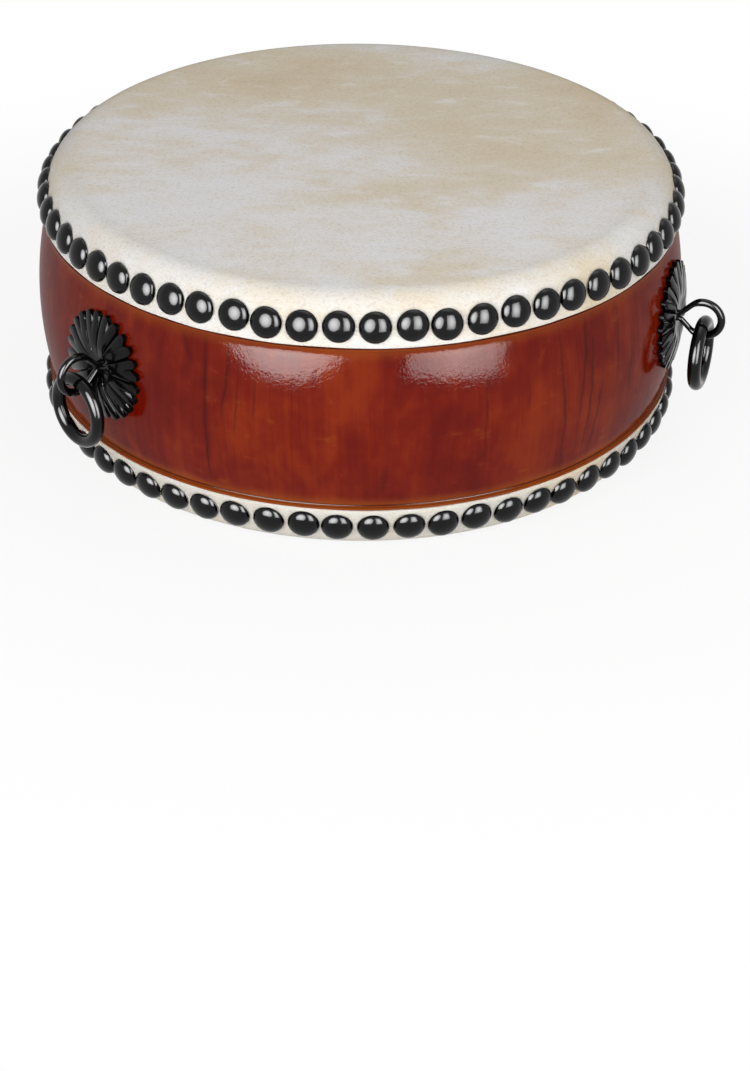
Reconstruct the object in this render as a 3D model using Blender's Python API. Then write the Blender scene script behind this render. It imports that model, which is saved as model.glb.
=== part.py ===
"""Taiko drum: a shallow barrel of glued staves, two tacked skins and three ring handles.

The drum stands on its lower skin. Its origin is the centre of that flat face.
Angles round the drum are counted from -Y, counter-clockwise seen from above.
"""
import math

import bmesh
import bpy
from mathutils import Matrix, Vector

# General
GAP = 0.0003
HEIGHT = 0.170

# Barrel
STAVES = 24
COLUMNS_PER_STAVE = 2
BELLY_RADIUS = 0.2075
BELLY_DROP = 0.0062
BELLY_STEPS = 4
MID_WALL = 0.0175
RIM_WALL = 0.026
RIM_CHAMFER = 0.002
LIP_RADIUS = 0.2032
LIP_HEIGHT = 0.0015
COVE_HEIGHT = 0.0012

# Skins
SKIN_THICKNESS = 0.002
SKIN_DEPTH = 0.0303
RIM_ROLL = 0.016
ROLL_STEPS = 3
SKIN_TILT = math.radians(12.8)

# Tacks
TACKS_PER_HEAD = 60
TACK_DROP = 0.018
TACK_RADIUS = 0.0097
TACK_HEIGHT = 0.0055
TACK_SIDES = 8
CROWN_ANGLE = math.radians(45.0)
SHANK_WIDTH = 0.0018
SHANK_HEIGHT = 0.0014
SHANK_DEPTH = 0.0014

# Handles
HANDLES = 3
HANDLE_RISE = 0.0065
PLATE_RADIUS = 0.0348
PLATE_EDGE = 0.0018
PLATE_CREST = 0.0045
PLATE_HUB = 0.003
PETALS = 12
CREST_REACH = 0.5
HUB_REACH = 0.2
SHOULDER_REACH = 0.8
SHOULDER_HEIGHT = 0.0036
BACK_SHARES = (1.0, 0.75, 0.5, 0.25)
PETAL_GROOVE = 0.0028
PETAL_NOTCH = 0.0013
EYE_WIRE = 0.005
EYE_RADIUS = 0.0115
EYE_STEPS = 7
LEG_WIRE = 0.0036
LEG_ANGLE = math.radians(45.0)
LEG_BEND = 0.003
BEND_STEPS = 3
LEG_PLAY = 0.0004
TAIL_LENGTH = 0.014
RING_RADIUS = 0.0198
RING_WIRE = 0.0084
RING_PLAY = 0.0005
RING_SEGMENTS = 20
RING_SIDES = 8

# Values that follow from the sizes above
COLUMNS = STAVES * COLUMNS_PER_STAVE
HALF = HEIGHT / 2
EDGE_Z = HALF - SKIN_DEPTH
ROLL_Z = HALF - RIM_ROLL
ROLL_RADIUS = LIP_RADIUS - RIM_ROLL / math.cos(SKIN_TILT) - (ROLL_Z - EDGE_Z) * math.tan(SKIN_TILT)
LAND_DEPTH = SKIN_THICKNESS + GAP
TACK_Z = HALF - TACK_DROP
CREASE_Z = EDGE_Z - GAP - LIP_HEIGHT - COVE_HEIGHT
CREASE_RADIUS = BELLY_RADIUS - BELLY_DROP
SIDES_PER_CORNER = TACK_SIDES // 4
SLOT_DEPTH = LAND_DEPTH + SHANK_DEPTH + 3 * GAP

MID_HEIGHT = Vector((0.0, 0.0, HALF))


def polar(radius, angle, z=0.0):
    """Point at an angle counted from -Y."""
    return Vector((radius * math.sin(angle), -radius * math.cos(angle), z))


def belly_radius(z):
    """Outer radius of the barrel at a height from its middle."""
    return BELLY_RADIUS - BELLY_DROP * (z / CREASE_Z) ** 2


def skin_line(depth):
    """Points from the flat face round the rim to the trimmed edge, a depth under the outer face."""
    points = []
    for step in range(ROLL_STEPS + 1):
        angle = math.pi / 2 + (SKIN_TILT - math.pi / 2) * step / ROLL_STEPS
        reach = RIM_ROLL - depth
        points.append((ROLL_RADIUS + reach * math.cos(angle), ROLL_Z + reach * math.sin(angle)))
    points.append((side_radius(EDGE_Z, depth), EDGE_Z))
    return points


def side_radius(z, depth):
    """Radius of the sloping side of the skin, a depth under its outer face."""
    return ROLL_RADIUS + (RIM_ROLL - depth) / math.cos(SKIN_TILT) + (ROLL_Z - z) * math.tan(SKIN_TILT)


def tack_point(out, down):
    """Point in the radial plane, measured square to the skin's side and down it from a tack's centre."""
    radius = side_radius(TACK_Z, 0.0) + out * math.cos(SKIN_TILT) + down * math.sin(SKIN_TILT)
    return radius, TACK_Z + out * math.sin(SKIN_TILT) - down * math.cos(SKIN_TILT)


def inner_line():
    """Inner wall of the barrel from its upper to its lower rim."""
    rim = LIP_RADIUS - RIM_WALL
    top = HALF - LAND_DEPTH - RIM_CHAMFER
    return [(rim, top), (BELLY_RADIUS - MID_WALL, HANDLE_RISE + TAIL_LENGTH),
            (BELLY_RADIUS - MID_WALL, -HANDLE_RISE - TAIL_LENGTH), (rim, -top)]


def stave_upper():
    """Upper half of a stave's outline, from the belly to the inner edge of the rim."""
    lip_top = EDGE_Z - GAP
    lip_low = lip_top - LIP_HEIGHT
    points = []
    for angle in (0.0, math.radians(45.0)):
        points.append((LIP_RADIUS - (LIP_RADIUS - CREASE_RADIUS) * math.cos(angle),
                       CREASE_Z + COVE_HEIGHT * math.sin(angle)))
    points += [(LIP_RADIUS, lip_low), (LIP_RADIUS, lip_top)]
    points.append((side_radius(lip_top, LAND_DEPTH), lip_top))
    slot = SHANK_HEIGHT / 2 + GAP
    points += [tack_point(-LAND_DEPTH, slot), tack_point(-SLOT_DEPTH, slot)]
    points += [tack_point(-SLOT_DEPTH, -slot), tack_point(-LAND_DEPTH, -slot)]
    points += list(reversed(skin_line(LAND_DEPTH)[:-1]))
    points.append((LIP_RADIUS - RIM_WALL + RIM_CHAMFER, HALF - LAND_DEPTH))
    return points


def material(name, colour, roughness, metallic=0.0):
    """Principled material with one colour."""
    mat = bpy.data.materials.new(name)
    mat.use_nodes = True
    shader = mat.node_tree.nodes["Principled BSDF"]
    shader.inputs["Base Color"].default_value = (*colour, 1.0)
    shader.inputs["Roughness"].default_value = roughness
    shader.inputs["Metallic"].default_value = metallic
    mat.diffuse_color = (*colour, 1.0)
    return mat


def finish_mesh(name, bm):
    """Mesh with outward faces, shaded smooth but for its sharp edges."""
    bmesh.ops.recalc_face_normals(bm, faces=bm.faces)
    mesh = bpy.data.meshes.new(name)
    bm.to_mesh(mesh)
    bm.free()
    mesh.shade_smooth()
    mesh.set_sharp_from_angle(angle=math.radians(35.0))
    return mesh


def place(name, data, mat, location=MID_HEIGHT, rotation=(0.0, 0.0, 0.0)):
    """Named object with its material."""
    obj = bpy.data.objects.new(name, data)
    if mat and not data.materials:
        data.materials.append(mat)
    obj.location = location
    obj.rotation_euler = rotation
    bpy.context.collection.objects.link(obj)
    return obj


def cutter(name, data, location=MID_HEIGHT, rotation=(0.0, 0.0, 0.0)):
    """Guide object that only cuts."""
    obj = place(name, data, None, location, rotation)
    obj.hide_render = True
    obj.display_type = "WIRE"
    return obj


def cut(obj, tool):
    """Cut a tool's shape out of an object."""
    mod = obj.modifiers.new(tool.name, "BOOLEAN")
    mod.operation = "DIFFERENCE"
    mod.solver = "EXACT"
    mod.object = tool


def lathe(profile, closed, start, sweep, steps):
    """Spin an outline about the drum's axis."""
    bm = bmesh.new()
    verts = [bm.verts.new(polar(r, start, z)) for r, z in profile]
    pairs = list(zip(verts, verts[1:]))
    if closed:
        pairs.append((verts[-1], verts[0]))
    edges = [bm.edges.new(pair) for pair in pairs]
    bmesh.ops.spin(bm, geom=verts + edges, cent=(0, 0, 0), axis=(0, 0, 1), angle=sweep, steps=steps,
                   dvec=(0, 0, 0), use_duplicate=False)
    bmesh.ops.remove_doubles(bm, verts=bm.verts, dist=1e-6)
    bmesh.ops.holes_fill(bm, edges=bm.edges, sides=0)
    return bm


def stave_mesh():
    """One stave: its outline spun through its share of the circle, less the glue joint."""
    upper = stave_upper()
    belly = []
    for step in range(1, BELLY_STEPS):
        z = CREASE_Z * (1 - 2 * step / BELLY_STEPS)
        belly.append((belly_radius(z), z))
    lower = [(r, -z) for r, z in upper]
    outline = list(reversed(upper)) + belly + lower + list(reversed(inner_line()))
    sweep = 2 * math.pi / STAVES - GAP / CREASE_RADIUS
    return finish_mesh("stave", lathe(outline, True, -sweep / 2, sweep, COLUMNS_PER_STAVE))


def skin_mesh():
    """One skin: flat across the mouth, rolled over the rim and trimmed on the side."""
    outer = [(0.0, HALF)] + skin_line(0.0)
    inner = [(0.0, HALF - SKIN_THICKNESS)] + skin_line(SKIN_THICKNESS)
    return finish_mesh("skin", lathe(outer + list(reversed(inner)), False, 0.0, 2 * math.pi, COLUMNS))


def tack_frame(index):
    """Directions at one tack: along the row, down the skin, out of the skin, and its centre."""
    angle = 2 * math.pi * (index + 0.5) / TACKS_PER_HEAD
    along = polar(1.0, angle + math.pi / 2)
    radial = polar(1.0, angle)
    out = radial * math.cos(SKIN_TILT) + Vector((0, 0, math.sin(SKIN_TILT)))
    down = radial * math.sin(SKIN_TILT) - Vector((0, 0, math.cos(SKIN_TILT)))
    radius, z = tack_point(0.0, 0.0)
    return along, down, out, polar(radius, angle, z)


def tack_row_mesh():
    """A row of tacks whose shanks stand on one thin band, which lies in the barrel's slot."""
    bm = bmesh.new()
    band_top = -LAND_DEPTH - GAP
    rings = []
    for index in range(TACKS_PER_HEAD):
        along, down, out, centre = tack_frame(index)

        def vert(a, d, o):
            return bm.verts.new(centre + along * a + down * d + out * o)

        for side in (-1, 1):
            a = side * SHANK_WIDTH / 2
            rings.append([vert(a, SHANK_HEIGHT / 2, band_top), vert(a, -SHANK_HEIGHT / 2, band_top),
                          vert(a, -SHANK_HEIGHT / 2, band_top - SHANK_DEPTH),
                          vert(a, SHANK_HEIGHT / 2, band_top - SHANK_DEPTH)])
        left, right = rings[-2], rings[-1]
        foot = [right[0], left[0], left[1], right[1]]
        neck = []
        for a, d in ((1, 1), (-1, 1), (-1, -1), (1, -1)):
            neck.append(vert(a * SHANK_WIDTH / 2, d * SHANK_HEIGHT / 2, GAP))
        for i in range(4):
            bm.faces.new((foot[i], foot[(i + 1) % 4], neck[(i + 1) % 4], neck[i]))
        circles = []
        for lift in (0.0, CROWN_ANGLE):
            radius, rise = TACK_RADIUS * math.cos(lift), TACK_HEIGHT * math.sin(lift)
            turns = [2 * math.pi * i / TACK_SIDES for i in range(TACK_SIDES)]
            circles.append([vert(radius * math.cos(t), radius * math.sin(t), GAP + rise) for t in turns])
        rim, crown = circles
        peak = vert(0.0, 0.0, GAP + TACK_HEIGHT)
        for i in range(TACK_SIDES):
            j = (i + 1) % TACK_SIDES
            bm.faces.new((rim[i], rim[j], crown[j], crown[i]))
            bm.faces.new((crown[i], crown[j], peak))
            bm.faces.new((neck[i // SIDES_PER_CORNER], rim[i], rim[j]))
        for i in range(4):
            j = (i + 1) % 4
            bm.faces.new((neck[i], rim[SIDES_PER_CORNER * j], neck[j]))
    count = len(rings)
    for i in range(count):
        here, there = rings[i], rings[(i + 1) % count]
        under_tack = i % 2 == 0
        for k in range(4):
            if under_tack and k == 0:
                continue
            bm.faces.new((here[k], here[(k + 1) % 4], there[(k + 1) % 4], there[k]))
    bmesh.ops.triangulate(bm, faces=bm.faces)
    return finish_mesh("tack_row", bm)


def tack_hole_mesh():
    """Square holes through the skin for one row of shanks."""
    bm = bmesh.new()
    length = 2 * LAND_DEPTH
    for index in range(TACKS_PER_HEAD):
        along, down, out, centre = tack_frame(index)
        frame = Matrix((along, down, out)).transposed().to_4x4()
        size = Matrix.Diagonal((SHANK_WIDTH + 2 * GAP, SHANK_HEIGHT + 2 * GAP, length, 1.0))
        spot = Matrix.Translation(centre - out * SKIN_THICKNESS / 2)
        bmesh.ops.create_cube(bm, size=1.0, matrix=spot @ frame @ size)
    return finish_mesh("tack_holes", bm)


def plate_seat(along, up):
    """How far the belly under a plate lies out from the handle's seat."""
    radius = belly_radius(HANDLE_RISE + up)
    return math.sqrt(radius ** 2 - along ** 2) - belly_radius(HANDLE_RISE)


def plate_mesh():
    """Chrysanthemum plate: petals with split tips, a raised crest and a sunk centre."""
    bm = bmesh.new()
    samples = ((0.0, PETAL_GROOVE, 1.0), (0.25, 0.0, 0.15), (0.5, PETAL_NOTCH, 0.3), (0.75, 0.0, 0.15))
    levels = ((1.0, PLATE_EDGE, 0.3), (SHOULDER_REACH, SHOULDER_HEIGHT, 0.32), (CREST_REACH, PLATE_CREST, 0.2),
              (HUB_REACH, PLATE_HUB, 0.0))

    def vert(along, up, out):
        return bm.verts.new(Vector((along, -(plate_seat(along, up) + out), up)))

    rings = [[] for _ in levels]
    backs = [[] for _ in BACK_SHARES]
    for petal in range(PETALS):
        for share, inset, groove in samples:
            turn = 2 * math.pi * (petal + share) / PETALS
            for ring, (reach, height, depth) in zip(rings, levels):
                radius = reach * PLATE_RADIUS - inset * reach ** 2
                rise = height * (1 - depth * groove)
                ring.append(vert(radius * math.cos(turn), radius * math.sin(turn), rise))
            for ring, reach in zip(backs, BACK_SHARES):
                radius = reach * (PLATE_RADIUS - inset)
                ring.append(vert(radius * math.cos(turn), radius * math.sin(turn), 0.0))
    loops = list(reversed(backs)) + rings
    count = len(loops[0])
    for first, second in zip(loops, loops[1:]):
        for i in range(count):
            j = (i + 1) % count
            bm.faces.new((first[i], first[j], second[j], second[i]))
    hub = vert(0.0, 0.0, PLATE_HUB)
    seat = vert(0.0, 0.0, 0.0)
    for i in range(count):
        j = (i + 1) % count
        bm.faces.new((rings[-1][i], rings[-1][j], hub))
        bm.faces.new((loops[0][j], loops[0][i], seat))
    return finish_mesh("plate", bm)


def eye_reach():
    """How far the centre of the eye stands out from the plate's seat."""
    return PLATE_HUB + GAP + eye_offset()


def leg_offset():
    """Height of each leg's centre above or below the pin's middle."""
    return LEG_WIRE / 2 + GAP / 2


def eye_offset():
    """Distance from the start of the legs' spread to the eye's centre, with the legs tangent to the eye."""
    x = LEG_BEND * math.sin(LEG_ANGLE)
    y = leg_offset() + LEG_BEND * (1 - math.cos(LEG_ANGLE))
    return x + (EYE_RADIUS - y * math.cos(LEG_ANGLE)) / math.sin(LEG_ANGLE)


def inner_radius(z):
    """Radius of the inner wall at a height from the barrel's middle."""
    line = inner_line()
    for (r0, z0), (r1, z1) in zip(line, line[1:]):
        if z0 >= z >= z1:
            return r0 + (r1 - r0) * (z0 - z) / (z0 - z1)
    return line[0][0]


def pin_half_path():
    """Upper half of the split pin, from the eye's far side to the end of its tail, as out, up and wire size."""
    seat = belly_radius(HANDLE_RISE)
    points = []
    last = math.pi / 2 + LEG_ANGLE
    for step in range(EYE_STEPS + 1):
        angle = last * step / EYE_STEPS
        points.append((eye_reach() + EYE_RADIUS * math.cos(angle), EYE_RADIUS * math.sin(angle), EYE_WIRE))
    start = PLATE_HUB + GAP
    for share in (1.0, 0.5, 0.0):
        angle = LEG_ANGLE * share
        points.append((start + LEG_BEND * math.sin(angle), leg_offset() + LEG_BEND * (1 - math.cos(angle)), LEG_WIRE))
    wall = inner_radius(HANDLE_RISE) - seat - 3 * GAP - LEG_WIRE / 2
    for step in range(BEND_STEPS + 1):
        angle = math.pi / 2 * step / BEND_STEPS
        up = leg_offset() + LEG_BEND * (1 - math.cos(angle))
        points.append((wall + LEG_BEND * (1 - math.sin(angle)), up, LEG_WIRE))
    points.append((wall, leg_offset() + TAIL_LENGTH - LEG_WIRE, LEG_WIRE))
    return points


def pin_curve():
    """Split pin: a round eye whose two legs run through the plate and the wall and bend over inside."""
    half = pin_half_path()
    path = [(x, -y, wire) for x, y, wire in reversed(half[1:])] + half
    curve = bpy.data.curves.new("split_pin", "CURVE")
    curve.dimensions = "3D"
    curve.bevel_depth = EYE_WIRE / 2
    curve.bevel_resolution = 2
    curve.use_fill_caps = True
    spline = curve.splines.new("POLY")
    spline.points.add(len(path) - 1)
    for point, (out, up, wire) in zip(spline.points, path):
        point.co = (0.0, -out, up, 1.0)
        point.radius = wire / EYE_WIRE
    return curve


def leg_hole_mesh():
    """Upright slot with round ends for the two legs, through plate and wall."""
    bm = bmesh.new()
    radius = LEG_WIRE / 2 + LEG_PLAY
    depth = MID_WALL + 4 * PLATE_HUB
    rim = []
    steps = 4
    for side in (1, -1):
        for step in range(steps + 1):
            angle = math.pi * step / steps
            rim.append((side * radius * math.cos(angle), side * (leg_offset() + radius * math.sin(angle))))
    face = bm.faces.new([bm.verts.new((x, -2 * PLATE_HUB, z)) for x, z in rim])
    made = bmesh.ops.extrude_face_region(bm, geom=[face])
    moved = [item for item in made["geom"] if isinstance(item, bmesh.types.BMVert)]
    bmesh.ops.translate(bm, verts=moved, vec=(0.0, depth, 0.0))
    bmesh.ops.holes_fill(bm, edges=bm.edges, sides=0)
    return finish_mesh("leg_hole", bm)


def ring_mesh():
    """Round ring hanging from its own hinge axis, which is the middle of its upper rod."""
    bm = bmesh.new()
    circle = bmesh.ops.create_circle(bm, segments=RING_SIDES, radius=RING_WIRE / 2)
    turn = Matrix.Rotation(math.pi / 2, 4, "Y")
    bmesh.ops.transform(bm, matrix=turn, verts=circle["verts"])
    bmesh.ops.spin(bm, geom=bm.verts[:] + bm.edges[:], cent=(0, 0, -RING_RADIUS), axis=(0, 1, 0),
                   angle=2 * math.pi, steps=RING_SEGMENTS, dvec=(0, 0, 0), use_duplicate=False)
    bmesh.ops.remove_doubles(bm, verts=bm.verts, dist=1e-6)
    return finish_mesh("ring", bm)


def build_barrel(tools):
    """Staves side by side, with the handle staves bored for the split pins."""
    wood = material("lacquered_wood", (0.30, 0.035, 0.008), 0.15)
    mesh = stave_mesh()
    pitch = 2 * math.pi / STAVES
    reach = pitch / 2 + (LEG_WIRE + LEG_PLAY) / BELLY_RADIUS
    for index in range(STAVES):
        angle = pitch * index
        stave = place(f"stave_{index + 1:02d}", mesh, wood, rotation=(0.0, 0.0, angle))
        for tool_angle, tool in tools:
            apart = abs((angle - tool_angle + math.pi) % (2 * math.pi) - math.pi)
            if apart < reach:
                cut(stave, tool)


def build_heads():
    """Skins and their rows of tacks, the lower ones turned over."""
    hide = material("cowhide", (0.75, 0.71, 0.60), 0.6)
    iron = material("black_tack", (0.012, 0.012, 0.013), 0.15)
    skin = skin_mesh()
    row = tack_row_mesh()
    holes = tack_hole_mesh()
    for name, rotation in (("top", (0.0, 0.0, 0.0)), ("bottom", (0.0, math.pi, 0.0))):
        tool = cutter(f"{name}_tack_holes", holes, rotation=rotation)
        cut(place(f"{name}_skin", skin, hide, rotation=rotation), tool)
        place(f"{name}_tacks", row, iron, rotation=rotation)


def build_handles():
    """Plates, split pins and rings, and the tools that bore for them."""
    plate_iron = material("black_plate", (0.013, 0.013, 0.014), 0.18)
    pin_iron = material("black_pin", (0.012, 0.012, 0.013), 0.15)
    ring_iron = material("black_ring", (0.012, 0.012, 0.013), 0.12)
    plate, pin, ring, hole = plate_mesh(), pin_curve(), ring_mesh(), leg_hole_mesh()
    seat = belly_radius(HANDLE_RISE)
    hang = -EYE_RADIUS + EYE_WIRE / 2 + RING_PLAY + RING_WIRE / 2
    tools = []
    for index in range(HANDLES):
        angle = 2 * math.pi * index / HANDLES
        turn = (0.0, 0.0, angle)
        spot = MID_HEIGHT + polar(seat, angle, HANDLE_RISE)
        tool = cutter(f"leg_hole_{index + 1}", hole, spot, turn)
        tools.append((angle, tool))
        backing = place(f"plate_{index + 1}", plate, plate_iron, spot + polar(GAP, angle), turn)
        cut(backing, tool)
        place(f"split_pin_{index + 1}", pin, pin_iron, spot + polar(GAP, angle), turn)
        hinge = spot + polar(eye_reach() + GAP, angle, hang)
        place(f"ring_{index + 1}", ring, ring_iron, hinge, turn)
    return tools


def main():
    """Build the drum."""
    for obj in list(bpy.data.objects):
        bpy.data.objects.remove(obj)
    build_barrel(build_handles())
    build_heads()


main()
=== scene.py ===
"""Looks of a shallow taiko drum: lacquered staves, tacked rawhide, and ring handles in black iron.

The drum stands on its lower skin, with its axis along +Z. Angles round it are counted from -Y,
counter-clockwise seen from above, and handle 1 is at angle 0.
"""
import logging
import math
import random
from collections.abc import Callable, Iterable, Sequence
from dataclasses import dataclass, field
from enum import Enum

import bmesh
import bpy
from mathutils import Euler, Matrix, Vector


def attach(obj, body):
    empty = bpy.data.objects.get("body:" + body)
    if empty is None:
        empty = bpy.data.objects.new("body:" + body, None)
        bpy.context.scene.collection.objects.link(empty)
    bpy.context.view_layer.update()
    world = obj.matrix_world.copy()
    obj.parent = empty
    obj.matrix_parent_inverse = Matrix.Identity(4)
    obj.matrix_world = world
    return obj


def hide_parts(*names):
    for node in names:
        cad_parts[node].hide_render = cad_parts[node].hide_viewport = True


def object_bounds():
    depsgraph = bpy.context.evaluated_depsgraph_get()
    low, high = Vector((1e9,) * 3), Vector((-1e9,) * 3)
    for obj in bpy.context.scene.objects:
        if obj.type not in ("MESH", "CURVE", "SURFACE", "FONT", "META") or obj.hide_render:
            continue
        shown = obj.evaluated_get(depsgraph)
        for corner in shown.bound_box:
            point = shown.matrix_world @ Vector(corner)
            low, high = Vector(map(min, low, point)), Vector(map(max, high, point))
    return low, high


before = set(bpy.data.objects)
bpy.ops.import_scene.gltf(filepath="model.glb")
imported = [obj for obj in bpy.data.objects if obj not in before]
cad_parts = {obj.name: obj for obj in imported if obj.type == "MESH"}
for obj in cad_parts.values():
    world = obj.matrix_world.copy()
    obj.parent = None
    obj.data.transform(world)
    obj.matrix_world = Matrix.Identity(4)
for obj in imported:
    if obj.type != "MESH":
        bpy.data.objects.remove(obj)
CAD_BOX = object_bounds()

LOG = logging.getLogger("taiko")
Colour = tuple[float, float, float]
Outline = list[tuple[float, float]]


class Head(Enum):
    """Which end of the drum a skin closes: the sign of its height from mid-height."""

    TOP = 1
    BOTTOM = -1


# Helpers

def polar(radius: float, angle: float, z: float = 0.0) -> Vector:
    """Point at an angle counted from -Y."""
    return Vector((radius * math.sin(angle), -radius * math.cos(angle), z))


def smoothstep(low: float, high: float, value: float) -> float:
    """Smooth rise from 0 at low to 1 at high."""
    t = min(1.0, max(0.0, (value - low) / (high - low)))
    return t * t * (3.0 - 2.0 * t)


def arc(centre: tuple[float, float], radius: float, start: float, end: float, steps: int) -> Outline:
    """Points on an arc in the radius and height plane.

    Args:
        centre: radius and height of the arc's centre.
        radius: its radius.
        start: first angle in radians, from the outward direction.
        end: last angle.
        steps: number of chords.

    Returns:
        The points, both ends included.
    """
    turns = [start + (end - start) * i / steps for i in range(steps + 1)]
    return [(centre[0] + radius * math.cos(t), centre[1] + radius * math.sin(t)) for t in turns]


def show(name: str, bm: bmesh.types.BMesh, finish: bpy.types.Material) -> bpy.types.Object:
    """Turn a closed bmesh into a smooth object with its finish.

    Args:
        name: the piece's name.
        bm: its mesh, freed here.
        finish: its material.

    Returns:
        The new object.
    """
    bmesh.ops.recalc_face_normals(bm, faces=bm.faces)
    mesh = bpy.data.meshes.new(name)
    bm.to_mesh(mesh)
    bm.free()
    mesh.shade_smooth()
    mesh.materials.append(finish)
    obj = bpy.data.objects.new(name, mesh)
    bpy.context.collection.objects.link(obj)
    return obj


def seat(obj: bpy.types.Object, body: str, nodes: Iterable[str]) -> bpy.types.Object:
    """Fasten a piece to its body and the CAD nodes it stands for.

    Args:
        obj: the piece.
        body: the CAD body it moves with.
        nodes: CAD nodes that it replaces.

    Returns:
        The same piece.
    """
    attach(obj, body)
    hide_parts(*nodes)
    LOG.info("%s: %d faces on %s", obj.name, len(obj.data.polygons), body)
    return obj


def turned(profile: Sequence[tuple[float, float]], columns: int,
           bend: Callable[[float, float, float], tuple[float, float]] | None = None) -> bmesh.types.BMesh:
    """Closed solid of revolution, with a UV map of turns round the axis and height.

    Args:
        profile: closed outline of radius and height; a point of radius 0 becomes a pole.
        columns: number of columns round.
        bend: moves a point, given its radius, height and angle.

    Returns:
        The mesh. Its UV map runs 0 to 1 round the axis, and holds the height in metres.
    """
    bm = bmesh.new()
    chart = bm.loops.layers.uv.new("round")
    rows = []
    for r, z in profile:
        if r < 1e-9:
            rows.append([bm.verts.new((0.0, 0.0, z))] * columns)
            continue
        row = []
        for i in range(columns):
            angle = 2 * math.pi * i / columns
            radius, height = bend(r, z, angle) if bend else (r, z)
            row.append(bm.verts.new(polar(radius, angle, height)))
        rows.append(row)
    for k in range(len(rows)):
        here, there = rows[k], rows[(k + 1) % len(rows)]
        if here[0] == here[1] and there[0] == there[1]:
            continue
        for i in range(columns):
            j = (i + 1) % columns
            corners = []
            for vert, column in ((here[i], i), (here[j], i + 1), (there[j], i + 1), (there[i], i)):
                if vert not in [c[0] for c in corners]:
                    corners.append((vert, column))
            face = bm.faces.new([c[0] for c in corners])
            for loop, (vert, column) in zip(face.loops, corners):
                loop[chart].uv = (column / columns, vert.co.z)
    return bm


def tube(path: Sequence[Vector], radii: Sequence[float], normal: Vector, sides: int,
         closed: bool) -> bmesh.types.BMesh:
    """Round bar along a flat path.

    Args:
        path: its centre line.
        radii: radius at each point.
        normal: direction square to the plane of the path.
        sides: number of sides.
        closed: whether the path is a loop. An open bar gets rounded ends.

    Returns:
        The mesh.
    """
    bm = bmesh.new()
    count = len(path)
    rings = []
    for i, (point, radius) in enumerate(zip(path, radii)):
        before = path[i - 1] if closed or i else point
        after = path[(i + 1) % count] if closed or i < count - 1 else point
        side = (after - before).normalized().cross(normal)
        turns = [2 * math.pi * s / sides for s in range(sides)]
        rings.append([bm.verts.new(point + side * radius * math.cos(t) + normal * radius * math.sin(t))
                      for t in turns])
    pairs = list(zip(rings, rings[1:]))
    if closed:
        pairs.append((rings[-1], rings[0]))
    for here, there in pairs:
        for s in range(sides):
            j = (s + 1) % sides
            bm.faces.new((here[s], here[j], there[j], there[s]))
    if not closed:
        for ring, end, inner in ((rings[0], path[0], path[1]), (rings[-1], path[-1], path[-2])):
            tip = bm.verts.new(end + (end - inner).normalized() * radii[0] * 0.3)
            for s in range(sides):
                bm.faces.new((ring[s], ring[(s + 1) % sides], tip))
    return bm


# Finishes

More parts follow.
